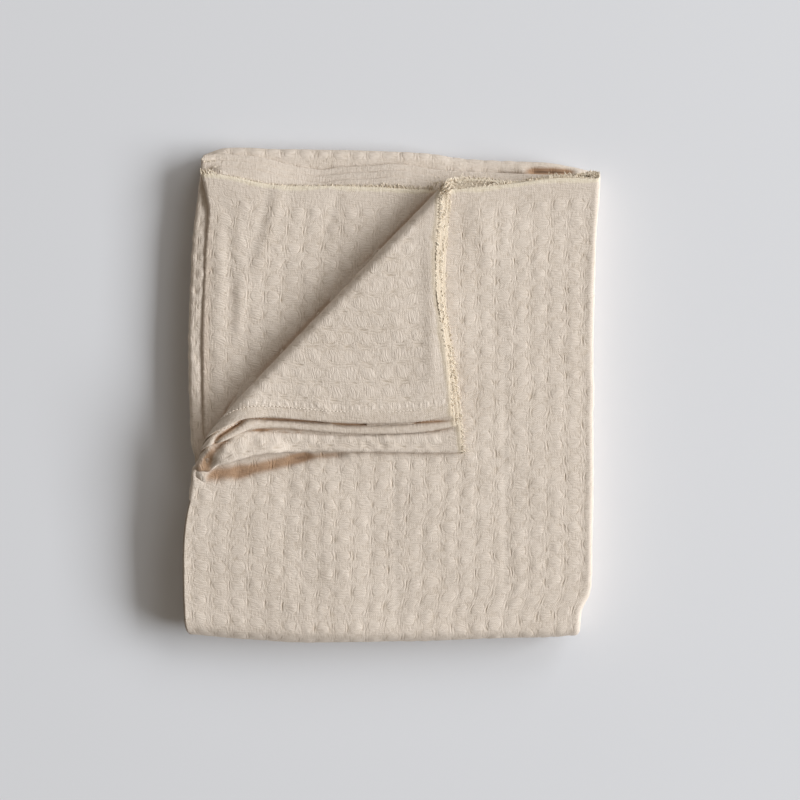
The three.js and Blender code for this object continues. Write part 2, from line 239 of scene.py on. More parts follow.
def fold_across(a, b):
    """The first folding, hem to hem: place across the packet, and height from the middle of the stack."""
    drift = read_table(HEM_DRIFT, "b", "drift", b)
    start = FIRST_HEM_SETBACK + drift - HALF_WIDTH
    end = SECOND_HEM_SETBACK + drift - HALF_WIDTH
    stops = (start, FAR_ACROSS, NEAR_ACROSS, FAR_ACROSS, end)
    across, height, _, _ = book_fold(a, ACROSS_LEVELS, LAYER, stops)
    return across, height - HALF_STACK


def along_stops(across, height):
    """Where the layers of the strip start, bend and end along the packet."""
    start = read_table(ENDS, "x", "top", across) - TOP_SLIP * height
    far = read_table(ENDS, "x", "front", across) + 1.5 * STACK + STACK_REACH
    near = read_table(ENDS, "x", "rear", across) - STACK / 2 - STACK_REACH
    end = read_table(ENDS, "x", "under", across) + UNDER_SLIP * height
    return start, far, near, far, end


def fold_along(b, across, height):
    """The second folding, selvedge to selvedge, of a layer at one height in the strip."""
    along, level, way, climb = book_fold(b, ALONG_LEVELS, STACK, along_stops(across, height))
    return along + climb * height, LOWEST_STACK + level - way * height


def tuck_hem(a, b):
    """Where cloth near the first hem lies on its run with the edge tucked under, and how far it drops."""
    share = smoothstep(b, *TUCK_RUNS)
    radius = np.maximum(TUCK_RADIUS * share, 1e-6)
    turned = TUCK * share + np.pi * radius
    from_hem = a * FIRST_FLAT
    angle = np.clip((turned - from_hem) / radius, 0, np.pi)
    flat = radius + (from_hem - turned) * (FIRST_FLAT - radius) / (FIRST_FLAT - turned)
    back = radius + TUCK * share - from_hem
    rolled = radius * (1 - np.sin(angle))
    place = np.where(angle <= 0, flat, np.where(angle < np.pi, rolled, back)) / FIRST_FLAT
    return np.where(a < 1, place, a), np.where(a < 1, -radius * (1 - np.cos(angle)), 0)


def folded_place(a, b):
    """A place on the folded strip before its corner is turned, and the height that it rolls over with."""
    a, drop = tuck_hem(a, b)
    across, height = fold_across(a, b)
    y, z = fold_along(b, across, height)
    z = z + drop
    share = (across + HALF_WIDTH) / (2 * HALF_WIDTH)
    top_left = read_table(SIDES, "y", "top_left", y)
    left = np.where(b < 1, top_left, read_table(SIDES, "y", "left", y))
    right = read_table(SIDES, "y", "right", y)
    hold = smoothstep(across + HALF_WIDTH, 0, FOLD_HOLD)
    rolled = np.where(height > 0, LAYER + (height - LAYER) * hold, height)
    return left + (right - left) * share, y, z, z - height + rolled


def to_crease(x, y):
    """Places along the crease and square to it, from places across and along the packet."""
    return x * CREASE_COS + y * CREASE_SIN, y * CREASE_COS - x * CREASE_SIN


def from_crease(along, reach):
    """Places across and along the packet, from places along the crease and square to it."""
    return along * CREASE_COS - reach * CREASE_SIN, along * CREASE_SIN + reach * CREASE_COS


def crease_at(x, y, z, roll):
    """How far a point lies past the line where the turned corner bends, and the bend there."""
    along, reach = to_crease(x, y)
    to_left = np.maximum(0, (CREASE_START - along) / CREASE_LENGTH)
    gape = GAPE * smoothstep(to_left, 0, 1)
    centre = TOP_LAYER + BEND_RADIUS + gape
    start = CREASE_REACH - CREASE_SAG * to_left ** 2
    return along, start, reach - start, gape, centre, centre - z, centre - roll


def turn_corner(x, y, z, roll):
    """Turns the corner of the top stack over, each layer round its own radius."""
    along, start, past, gape, centre, radius, roll_radius = crease_at(x, y, z, roll)
    angle = np.clip(past / roll_radius, 0, np.pi)
    beyond = past - angle * roll_radius
    reach = start + radius * np.sin(angle) - beyond
    turned_x, turned_y = from_crease(along, reach)
    turned_z = centre - radius * np.cos(angle) - 2 * gape * smoothstep(beyond, 0, SETTLE)
    turned = past > 0
    return np.where(turned, turned_x, x), np.where(turned, turned_y, y), np.where(turned, turned_z, z)


def fold_shares(a, b, z, past):
    """How much each place takes of the soft folds on each part of the packet."""
    turned = smoothstep(past, 0, 30) * (b < 1)
    level = 1 - smoothstep(past, -30, 0) * (b < 1)
    first = 1 - smoothstep(a, 1, 2)
    second = smoothstep(a, 5, 6)
    face = smoothstep(a, 1, 1.4) * (1 - smoothstep(a, 3.6, 4))
    return dict(
        top=face * level * (b < 2) * smoothstep(z, 15, 33),
        below_top=level * (b < 1) * (1 - smoothstep(a, 1.5, 2) * (1 - smoothstep(a, 3, 3.5))),
        packet=(1 - smoothstep(past, -10, 0) * (b < 1)) * smoothstep(z, 15, 33),
        rear=smoothstep(z, 8, 16) * (b > 3) * (1 - smoothstep(b, 4.2, 4.4)),
        flap=turned,
        rolled=smoothstep(past, 4, 16) * (b < 1),
        first_hem=turned * (first + 0.4 * second),
        below_first=turned * (1 - first),
        below_second=turned * (1 - first) * (1 - second),
        under=first * (b > 6),
        second_under=second * (b > 6),
        below_under=(1 - first) * (b > 6),
        soft_edge=smoothstep(a, 2.9, 3.3) * (1 - smoothstep(a, 4.3, 4.7)) * (b > 6))


def soft_fold_push(place, shares):
    """How far the soft folds push places of the cloth."""
    push = np.zeros_like(place)
    for row in SOFT_FOLDS:
        start = np.array(row["start"], float)
        way = np.array(row["end"], float) - start
        beside = place[..., :2] - start
        f = beside @ way / (way @ way)
        away = np.linalg.norm(beside - np.clip(f, 0, 1)[..., None] * way, axis=-1)
        fade = smoothstep(f, -0.15, 0.25) * (1 - smoothstep(f, 0.75, 1.15))
        share = shares[row["on"]] * fade * np.exp(-(away / row["width"]) ** 2)
        push += share[..., None] * np.array(row["push"], float)
    return push


def place_and_push(a, b):
    """The middle of the cloth before the soft folds, and how far these push it."""
    x, y, z, roll = folded_place(a, b)
    past = crease_at(x, y, z, roll)[2]
    turned = turn_corner(x, y, z, roll)
    x, y, z = (np.where(b < 1, new, old) for new, old in zip(turned, (x, y, z)))
    swell = sum(w["share"] * np.sin(w["to_x"] * x + w["to_y"] * y + w["phase"]) for w in WAVES)
    swell = swell - LOW_CORNER * smoothstep(-x, 20, 160) * smoothstep(-y, 0, 190)
    z = CLOTH / 2 + (z - CLOTH / 2) * (1 + swell)
    place = np.stack([x - MIDDLE[0], y - MIDDLE[1], z], -1)
    return place, soft_fold_push(place, fold_shares(a, b, z, past))


def cloth_place(a, b):
    """The middle of the cloth in the finished packet, as rows of x, y, z."""
    place, push = place_and_push(a, b)
    return place + push


def fold_depth(a, b):
    """How far down soft folds push places of the cloth."""
    return np.maximum(-place_and_push(a, b)[1][..., 2], 0)


def unit(vectors):
    """Vectors of length 1."""
    return vectors / np.maximum(np.linalg.norm(vectors, axis=-1, keepdims=True), 1e-12)


def cloth_frame(a, b):
    """Place, directions towards the second hem and the second selvedge, and the cloth's normal."""
    step = 1e-3
    to_hem = cloth_place(np.minimum(a + step, RUNS), b) - cloth_place(np.maximum(a - step, 0), b)
    to_selvedge = cloth_place(a, np.minimum(b + step, RUNS)) - cloth_place(a, np.maximum(b - step, 0))
    return cloth_place(a, b), unit(to_hem), unit(to_selvedge), unit(np.cross(to_hem, to_selvedge))


def runs_of(u, v):
    """Places on the two folds of places on the flat cloth, by the length of cloth in each run."""
    bends = np.pi * LAYER / 2 * np.array([3.0, 1.0, 1.0])
    first = FAR_ACROSS + HALF_WIDTH - FIRST_HEM_SETBACK
    last = FAR_ACROSS + HALF_WIDTH - SECOND_HEM_SETBACK
    middle = FAR_ACROSS - NEAR_ACROSS
    lengths = [0, first, bends[0], middle, bends[1], middle, bends[2], last]
    ends = np.cumsum(lengths)
    a = np.interp(u, ends * CLOTH_WIDTH / ends[-1], np.arange(RUNS + 1))
    across, height = fold_across(a, np.full_like(a, RUNS))
    start, far, near, _, end = along_stops(across, height)
    half = STACK / 2
    lengths = np.stack([
        np.zeros_like(a), start - far, np.pi * (3 * half + height), near - far,
        np.pi * (half + height), near - far, np.pi * (half - height), end - far])
    ends = np.cumsum(lengths, 0)
    ends *= CLOTH_LENGTH / ends[-1]
    b = np.zeros_like(v)
    for run in range(RUNS):
        f = (v - ends[run]) / (ends[run + 1] - ends[run])
        b = np.where(v >= ends[run], run + np.clip(f, 0, 1), b)
    return a, b


def flat_lines(band, total, cells):
    """Lines of the finest mesh across the flat cloth: a plain band, the waffle cells, and a plain band."""
    knots = np.concatenate([[0.0], np.linspace(band, total - band, cells + 1), [total]])
    steps = np.arange((cells + 2) * FINEST + 1) / FINEST
    return np.interp(steps, np.arange(cells + 3), knots)


LINES_U = flat_lines(HEM_BAND, CLOTH_WIDTH, CELLS_ACROSS)
LINES_V = flat_lines(SELVEDGE_BAND, CLOTH_LENGTH, CELLS_ALONG)
SQUARES_U = CELLS_ACROSS + 2
SQUARES_V = CELLS_ALONG + 2

# What shows round the turned corner, in millimetres past the middle of its bend
TOP_SHOWS_TO = 12  # the face of the top
FLAP_SHOWS_FROM = -14  # the layers that the corner turns up
COVER = 16  # how far inside the crease the corner covers the cloth below it
COVER_EDGES = dict(left=-133, rear=145)  # of the part of the corner that covers cloth, before it is turned
BEND_END = dict(x=22, reach=13)  # the end of the bend at the selvedge
DEEP = 1.0  # a soft fold deeper than this has a finer mesh


def past_crease(a, b):
    """How far places on the top stack lie past the middle of the bend of the turned corner."""
    _, _, past, _, _, _, roll_radius = crease_at(*folded_place(a, b))
    return past - np.pi / 2 * roll_radius


def square_runs():
    """Places on the two folds of the middles of the cloth's squares."""
    mid_u = (LINES_U[:-FINEST:FINEST] + LINES_U[FINEST::FINEST]) / 2
    mid_v = (LINES_V[:-FINEST:FINEST] + LINES_V[FINEST::FINEST]) / 2
    return runs_of(*np.meshgrid(mid_u, mid_v, indexing="ij"))


def under_flap(x, y):
    """Which places of the top stack the turned corner covers: those whose mirror image was on it."""
    along, reach = to_crease(x, y)
    was_x, was_y = from_crease(along, 2 * CREASE_REACH - reach)
    return (reach < CREASE_REACH - COVER) & (was_x > COVER_EDGES["left"]) & (was_y < COVER_EDGES["rear"])


def bend_end(a, b):
    """Where the turned corner's bend ends at the selvedge, and its inner layers come near the outside."""
    x = cloth_place(a, b)[..., 0]
    return (b < 1.02) & (np.abs(past_crease(a, b)) < BEND_END["reach"]) & (x > BEND_END["x"])


def seen_steps():
    """Mesh steps in each square of the outer side: fine where it shows, coarse inside the packet."""
    a, b = square_runs()
    past = past_crease(a, b)
    x, y, _ = np.moveaxis(cloth_place(a, b), -1, 0)
    reach = to_crease(x, y)[1]
    on_top = b < 1.02
    bare = ~(on_top & (past > TOP_SHOWS_TO)) & ~(on_top & under_flap(x, y))
    top_face = (a > 0.98) & (a < 3.9)
    top = top_face & (b < 1.75) & bare
    flap = (a < 1.02) & on_top & (past > FLAP_SHOWS_FROM)
    flap_edge = (a > 3.0) & (a < 4.1) & on_top & (past > FLAP_SHOWS_FROM)
    left_fold = (a > 3.0) & (a < 4.05) & (b > 5.95) & (y > -45)
    under = (a < 1.02) & (b > 5.95) & (reach > CREASE_REACH - COVER)
    rear = (a > 1.9) & (a < 3.1) & (b > 2.95) & (b < 4.14)
    fine = top | flap | flap_edge | left_fold | under | rear
    sides = ((a > 0.95) & (a < 2.05)) | ((a > 2.95) & (a < 4.05))
    front = (a > 1.9) & (a < 3.1) & (b > 1.7) & (b < 2.05)
    crease = on_top & ((top_face & (past > 0) & (past < 28)) | ((a < 1.02) & (past > -30) & (past < 0)))
    half_fine = (sides & (b > 2.0)) | front | crease | bend_end(a, b) | (fold_depth(a, b) > DEEP)
    return np.where(fine, FINEST, np.where(half_fine, FINEST // 2, 1))


def back_steps():
    """Mesh steps in each square of the cloth's inner side, which shows only at the second hem."""
    a, b = square_runs()
    hem = (a > 6.92) & (b < 1.02) & (past_crease(a, b) > FLAP_SHOWS_FROM)
    half_fine = bend_end(a, b) | (fold_depth(a, b) > DEEP)
    return np.where(hem, FINEST, np.where(half_fine, FINEST // 2, 1))


def row_edge_steps(steps, other):
    """Mesh steps on the edges between rows of squares: those of the finer neighbour, over the rim too."""
    return np.maximum(np.concatenate([other[:1], steps]), np.concatenate([steps, other[-1:]]))


def edge_steps(steps, other):
    """Mesh steps on the edges of one side's squares, across and along the cloth. other is the other side."""
    return row_edge_steps(steps.T, other.T).T, row_edge_steps(steps, other)


def side_faces(steps, across, along):
    """Faces of one side of the cloth, as rings of places on the finest mesh."""
    rows = len(LINES_V)
    faces = []

    def between(start, end, count):
        """Places from start up to, but without, end, in equal steps."""
        (i0, j0), (i1, j1) = start, end
        return [((i0 + (i1 - i0) * k // count) * rows + j0 + (j1 - j0) * k // count) for k in range(count)]

    for i in range(SQUARES_U):
        for j in range(SQUARES_V):
            n = steps[i, j]
            size = FINEST // n
            low, high = across[i, j] // n, across[i, j + 1] // n
            left, right = along[i, j] // n, along[i + 1, j] // n
            for p in range(n):
                for q in range(n):
                    i0, j0 = i * FINEST + p * size, j * FINEST + q * size
                    i1, j1 = i0 + size, j0 + size
                    faces.append(
                        between((i0, j0), (i1, j0), low if q == 0 else 1)
                        + between((i1, j0), (i1, j1), right if p == n - 1 else 1)
                        + between((i1, j1), (i0, j1), high if q == n - 1 else 1)
                        + between((i0, j1), (i0, j0), left if p == 0 else 1))
    return faces


def rim_places(across, along):
    """Places round the edge of the cloth, in order."""
    rows = len(LINES_V)
    last_i, last_j = len(LINES_U) - 1, rows - 1
    ring = []
    for i in range(SQUARES_U):
        ring += [(i * FINEST + k) * rows for k in range(0, FINEST, FINEST // across[i, 0])]
    for j in range(SQUARES_V):
        ring += [last_i * rows + j * FINEST + k for k in range(0, FINEST, FINEST // along[-1, j])]
    for i in reversed(range(SQUARES_U)):
        ring += [((i + 1) * FINEST - k) * rows + last_j for k in range(0, FINEST, FINEST // across[i, -1])]
    for j in reversed(range(SQUARES_V)):
        ring += [(j + 1) * FINEST - k for k in range(0, FINEST, FINEST // along[0, j])]
    return np.array(ring)


# Relief of the cloth, in millimetres: a round bubble for each cell, and a slot on both sides of it
BUBBLE = dict(height=0.27, radius=3.6)
SLOT = dict(height=-0.2, width=1.7, length=3.2)
UNEVEN = 0.75  # how much the relief differs from place to place
ROUGH = 0.12  # small unevenness over it
WANDER = dict(wide=1.1, close=0.9)  # how far the cells stray from their rows
BILLOWS = dict(wide=0.5, close=0.3)  # unevenness that is larger than a cell
PUFF = 1.6  # how much more the waffle stands out on the soft left folds
RIM_REACH = 0.8  # how far the rim stands out, by half the thickness of the cloth
NOISE_GRID = 128


def noise(u, v, size, seed):
    """Smooth random values from -1 to 1, one for each patch of a size, with its own seed."""
    grid = np.random.default_rng(seed).uniform(-1, 1, (NOISE_GRID, NOISE_GRID))
    i, j = np.floor(u / size).astype(int), np.floor(v / size).astype(int)
    f, g = u / size - i, v / size - j
    f, g = f * f * (3 - 2 * f), g * g * (3 - 2 * g)
    i, j = i % NOISE_GRID, j % NOISE_GRID
    next_i, next_j = (i + 1) % NOISE_GRID, (j + 1) % NOISE_GRID
    low = grid[i, j] * (1 - f) + grid[next_i, j] * f
    high = grid[i, next_j] * (1 - f) + grid[next_i, next_j] * f
    return low * (1 - g) + high * g


def wander(u, v):
    """Where a place of the flat cloth lies in the weave, whose rows and columns are a little uneven."""
    across = WANDER["wide"] * noise(u, v, 21, 1) + WANDER["close"] * noise(u, v, 8, 9)
    along = WANDER["wide"] * noise(u, v, 19, 2) + WANDER["close"] * noise(u, v, 7, 10)
    return u + across, v + along


def waffle(u, v):
    """Height of the waffle over the flat cloth."""
    u, v = wander(u, v)
    from_u = np.abs((u - HEM_BAND + CELL_U / 2) % CELL_U - CELL_U / 2)
    from_v = np.abs((v - SELVEDGE_BAND) % CELL_V - CELL_V / 2)
    bubble = np.exp(-(from_u ** 2 + from_v ** 2) / BUBBLE["radius"] ** 2)
    slot = np.exp(-((from_u - CELL_U / 2) / SLOT["width"]) ** 2 - (from_v / SLOT["length"]) ** 2)
    height = BUBBLE["height"] * bubble + SLOT["height"] * slot
    return height * (1 + UNEVEN * noise(u, v, 9, 3)) + ROUGH * noise(u, v, 4, 4)


def waffle_share(u, v):
    """How much of the waffle there is: none in the plain bands along hems and selvedges."""
    to_hem = np.minimum(u, CLOTH_WIDTH - u)
    to_selvedge = np.minimum(v, CLOTH_LENGTH - v)
    return smoothstep(to_hem, HEM_BAND - 1, HEM_BAND + 3) * smoothstep(to_selvedge, 12, 18)


def spread_to_lines(squares):
    """A value of each square of the cloth, eased over the lines of the finest mesh."""
    padded = np.pad(squares.astype(float), 1, mode="edge")
    at_i = np.arange(len(LINES_U)) / FINEST + 0.5
    at_j = np.arange(len(LINES_V)) / FINEST + 0.5
    i, j = np.floor(at_i).astype(int), np.floor(at_j).astype(int)
    i, j = np.minimum(i, padded.shape[0] - 2), np.minimum(j, padded.shape[1] - 2)
    f, g = (at_i - i)[:, None], (at_j - j)[None, :]
    low = padded[i][:, j] * (1 - f) + padded[i + 1][:, j] * f
    high = padded[i][:, j + 1] * (1 - f) + padded[i + 1][:, j + 1] * f
    return low * (1 - g) + high * g


def half_thickness(u):
    """Half the cloth's thickness, which is greater in the hems."""
    to_hem = np.minimum(u, CLOTH_WIDTH - u)
    return (HEM + (CLOTH - HEM) * smoothstep(to_hem, HEM_WIDTH, HEM_WIDTH + HEM_STEP)) / 2


def places_of(keys):
    """Places on the flat cloth of places on the finest mesh."""
    rows = len(LINES_V)
    return LINES_U[keys // rows], LINES_V[keys % rows]


def new_mesh(name, points, faces):
    """A smooth mesh object from points in millimetres."""
    mesh = bpy.data.meshes.new(name)
    mesh.from_pydata((points * MM).tolist(), [], faces)
    mesh.validate()
    mesh.polygons.foreach_set("use_smooth", [True] * len(mesh.polygons))
    mesh.update()
    piece = bpy.data.objects.new(name, mesh)
    bpy.context.scene.collection.objects.link(piece)
    return piece


def store_weave(piece, u, v):
    """Keeps each point's place in the weave and its depth in the soft folds, in millimetres; the material
    paints shade by the depth.
    """
    values = np.stack([*wander(u, v), fold_depth(*runs_of(u, v))], -1).astype(np.float32)
    attribute = piece.data.attributes.new("weave", "FLOAT_VECTOR", "POINT")
    attribute.data.foreach_set("vector", values.ravel())


def outer_side(keys, shown):
    """Points of the outer side, raised by the waffle where it shows, and more so on the soft left folds."""
    u, v = places_of(keys)
    a, b = runs_of(u, v)
    place, _, _, normal = cloth_frame(a, b)
    clear = shown[keys] * smoothstep(place[:, 2], 1, 7)
    puffed = 1 + PUFF * smoothstep(a, 2.95, 3.2) * (1 - smoothstep(a, 4.02, 4.08))
    relief = waffle(u, v) * waffle_share(u, v) * puffed
    relief += BILLOWS["wide"] * noise(u, v, 46, 5) + BILLOWS["close"] * noise(u, v, 17, 6)
    return place + normal * (half_thickness(u) + relief * clear)[:, None]


def inner_side(keys):
    """Points of the inner side, which is plain."""
    u, v = places_of(keys)
    place, _, _, normal = cloth_frame(*runs_of(u, v))
    return place - normal * half_thickness(u)[:, None]


def rim(keys):
    """Points round the edge of the cloth, a little further out than its two sides."""
    u, v = places_of(keys)
    place, to_hem, to_selvedge, _ = cloth_frame(*runs_of(u, v))
    hemward = (u >= CLOTH_WIDTH).astype(float) - (u <= 0)
    edgeward = (v >= CLOTH_LENGTH).astype(float) - (v <= 0)
    out = unit(to_hem * hemward[:, None] + to_selvedge * edgeward[:, None])
    return place + out * half_thickness(u)[:, None] * RIM_REACH


def make_blanket():
    """The cloth as one closed sheet: an outer side with the waffle, a plain inner side, and a round rim."""
    front, back = seen_steps(), back_steps()
    front_edges, back_edges = edge_steps(front, back), edge_steps(back, front)
    outer = side_faces(front, *front_edges)
    inner = side_faces(back, *back_edges)
    ring = rim_places(*front_edges)
    shown = spread_to_lines(front == FINEST).ravel()
    outer_keys = np.unique(np.concatenate([np.array(f) for f in outer]))
    inner_keys = np.unique(np.concatenate([np.array(f) for f in inner]))
    points = np.concatenate([outer_side(outer_keys, shown), inner_side(inner_keys), rim(ring)])

    size = len(LINES_U) * len(LINES_V)
    outer_id, inner_id = np.full(size, -1), np.full(size, -1)
    outer_id[outer_keys] = np.arange(len(outer_keys))
    inner_id[inner_keys] = np.arange(len(inner_keys)) + len(outer_keys)
    rim_id = np.arange(len(ring)) + len(outer_keys) + len(inner_keys)
    faces = [outer_id[f].tolist() for f in outer]
    faces += [inner_id[f[::-1]].tolist() for f in inner]
    for k in range(len(ring)):
        n = (k + 1) % len(ring)
        p, q = ring[k], ring[n]
        faces.append([int(outer_id[q]), int(outer_id[p]), int(rim_id[k]), int(rim_id[n])])
        faces.append([int(rim_id[n]), int(rim_id[k]), int(inner_id[p]), int(inner_id[q])])
    piece = new_mesh("blanket_cloth", points, faces)
    store_weave(piece, *places_of(np.concatenate([outer_keys, inner_keys, ring])))
    return piece


def make_tubes(name, paths, radius, sides):
    """Round yarns along paths, all with the same number of points, as one mesh closed at the ends."""
    count, steps, _ = paths.shape
    way = unit(np.gradient(paths, axis=1))
    helper = np.where(np.abs(way[..., 2:]) < 0.8, [0.0, 0.0, 1.0], [1.0, 0.0, 0.0])
    across = unit(np.cross(way, helper))
    up = np.cross(across, way)
    turn = 2 * np.pi * np.arange(sides)[:, None] / sides
    ring = across[:, :, None] * np.cos(turn) + up[:, :, None] * np.sin(turn)
    points = (paths[:, :, None] + ring * radius[:, None, None, None]).reshape(-1, 3)
    index = np.arange(count * steps * sides).reshape(count, steps, sides)
    beside = np.roll(index, -1, axis=2)
    walls = np.stack([index[:, :-1], index[:, 1:], beside[:, 1:], beside[:, :-1]], -1).reshape(-1, 4)
    faces = walls.tolist() + index[:, 0].tolist() + index[:, -1, ::-1].tolist()
    return new_mesh(name, points, faces)


YARN_SIDES = 5  # of the section of a loop or a stitch
LOOP_PITCH = 1.0  # from one weft loop to the next along a selvedge
LOOP_STEPS = 8
LOOP_LENGTH = (1.0, 2.6)
LOOP_WIDTH = (1.0, 2.6)
LOOP_LEAN = (-1.2, 1.2)
LOOP_LIFT = (-0.4, 0.6)
LOOP_RADIUS = (0.25, 0.4)
LEAST_LOOP = 0.2  # a shorter loop is left out
LONG_LOOPS = [(33, 140), (-143, 168), (37, 152)]  # places with longer loops
LONG_LENGTH = 2.2
LONG_REACH = 9.0
# The selvedges: how far from the first hem their loops show, and how far these reach by the usual
SELVEDGES = [
    dict(v=0.0, outward=-1, shown=CLOTH_WIDTH, reach=1.0, seed=11),
    dict(v=CLOTH_LENGTH, outward=1, shown=FIRST_FLAT, reach=1.2, seed=12),
]


def loop_lengths(u, place, hidden, chance):
    """How far each weft loop reaches out, none where the edge is tight or hidden."""
    length = chance.uniform(*LOOP_LENGTH, len(u)) * (1 + 0.6 * noise(u, np.zeros_like(u), 23, 7))
    length[noise(u, np.zeros_like(u), 11, 8) < -0.45] = 0
    length[hidden] = 0
    for x, y in LONG_LOOPS:
        away = np.hypot(place[:, 0] - x, place[:, 1] - y)
        length += LONG_LENGTH * chance.uniform(0.3, 1, len(u)) * np.exp(-(away / LONG_REACH) ** 2)
    return length


def selvedge_yarns(v, outward, shown, reach, seed):
    """Paths and radii of the loops and loose ends of weft along one selvedge."""
    chance = np.random.default_rng(seed)
    u = np.arange(LOOP_PITCH, CLOTH_WIDTH, LOOP_PITCH)
    u = u + chance.uniform(-0.5, 0.5, len(u))
    place, to_hem, to_selvedge, normal = cloth_frame(*runs_of(u, np.full(len(u), v)))
    length = reach * loop_lengths(u, place, u > shown, chance)
    kept = length > LEAST_LOOP
    place, to_hem, normal = place[kept][:, None], to_hem[kept][:, None], normal[kept][:, None]
    out = outward * to_selvedge[kept][:, None]
    length = length[kept][:, None]
    t = np.linspace(0, 1, LOOP_STEPS)[None, :]
    loose = chance.uniform(0, 1, length.shape) > 0.85
    wide = chance.uniform(*LOOP_WIDTH, length.shape)
    lean = chance.uniform(*LOOP_LEAN, length.shape)
    lift = chance.uniform(*LOOP_LIFT, length.shape)
    curl = chance.uniform(0, 2 * np.pi, length.shape)
    forth = np.where(loose, length * 1.5 * t, length * np.sin(np.pi * t)) - 0.4
    sideways = np.where(loose, lean * t ** 2 * 2, wide * (t - 0.5) + lean * np.sin(np.pi * t))
    upward = lift * np.sin(np.pi * t * 0.8) + 0.2 * np.sin(curl + 5 * t)
    paths = place + out * forth[..., None] + to_hem * sideways[..., None] + normal * upward[..., None]
    return paths, chance.uniform(*LOOP_RADIUS, len(paths))


def make_fringe():
    """The yarn loops and frayed ends of both selvedges."""
    paths, radii = zip(*(selvedge_yarns(**row) for row in SELVEDGES))
    paths = np.concatenate(paths)
    paths[..., 2] = np.maximum(paths[..., 2], 0.5)
    return make_tubes("selvedge_loops", paths, np.concatenate(radii), YARN_SIDES)


STITCH_PITCH = 2.75
STITCH_LENGTH = 2.1
STITCH_INSET = 8.0  # from the hem's edge
STITCH_RADIUS = 0.34
STITCH_STEPS = 5
STITCH_RISE = 0.1  # of its middle over the cloth
STITCH_BOW = 1.2


def hem_stitches(u, side):
    """Paths of the stitches along one hem, on one side of the cloth."""
    middle = np.arange(3.0, CLOTH_LENGTH - 3.0, STITCH_PITCH)
    t = np.linspace(-0.5, 0.5, STITCH_STEPS)
    v = middle[:, None] + STITCH_LENGTH * t[None, :]
    flat_u = np.full(v.shape, float(u))
    place, _, _, normal = cloth_frame(*runs_of(flat_u.ravel(), v.ravel()))
    rise = STITCH_RISE - STITCH_BOW * np.tile(t, len(middle)) ** 2
    height = half_thickness(flat_u.ravel()) + rise
    return (place + side * normal * height[:, None]).reshape(len(middle), STITCH_STEPS, 3)


def make_stitches():
    """The thread that holds the two hems, on the side of each that shows."""
    paths = np.concatenate([
        hem_stitches(STITCH_INSET, 1), hem_stitches(CLOTH_WIDTH - STITCH_INSET, -1)])
    return make_tubes("hem_stitches", paths, np.full(len(paths), STITCH_RADIUS), YARN_SIDES)


# Looks

CLOTH_TONES = [(0.0, (0.40, 0.30, 0.19)), (0.5, (0.73, 0.626, 0.522)), (1.0, (0.89, 0.79, 0.685))]
CREAM_TONES = [(0.0, (0.46, 0.35, 0.215)), (0.5, (0.82, 0.715, 0.555)), (1.0, (0.90, 0.82, 0.69))]
# A darker copy of the cream tones, as painted shade on the selvedge of the turned corner, which faces the
# light
FLAP_RIM_SHADE_TONES = [(0.0, (0.40, 0.30, 0.18)), (0.5, (0.62, 0.52, 0.395)), (1.0, (0.76, 0.67, 0.54))]
LOOP_TONES = [(0.0, (0.48, 0.375, 0.24)), (0.5, (0.74, 0.635, 0.495)), (1.0, (0.86, 0.775, 0.64))]
PAINTED_FOLD_SHADE = (0.38, 0.205, 0.095, 1)  # painted shade: the brown of light between cloth, in soft folds
PAINTED_FOLD_SHADOW = (0.10, 0.055, 0.03, 1)  # painted shadow, in the deepest of them
STITCH_COLOUR = (0.78, 0.69, 0.585, 1)
FLOOR_COLOUR = (0.73, 0.73, 0.74, 1)
FIRST_SELVEDGE = 40  # cloth nearer than this to the first selvedge takes its looks
TOP_SELVEDGE = dict(middle=298, reach=110)  # the part of it that is not on the turned corner
CREAM = (4.4, 1.6)  # distances from a selvedge over which the cloth gets creamy
PAINTED_SHADE_DEPTHS = (0.5, 2.8)  # depths over which a soft fold gets painted brown shade
PAINTED_SHADOW_DEPTHS = (3.2, 5.2)  # and painted dark shadow
YARN = 1.3  # from one yarn of the cloth to the next
HEM_FLOAT = 5.8  # from one float of yarn to the next along a hem


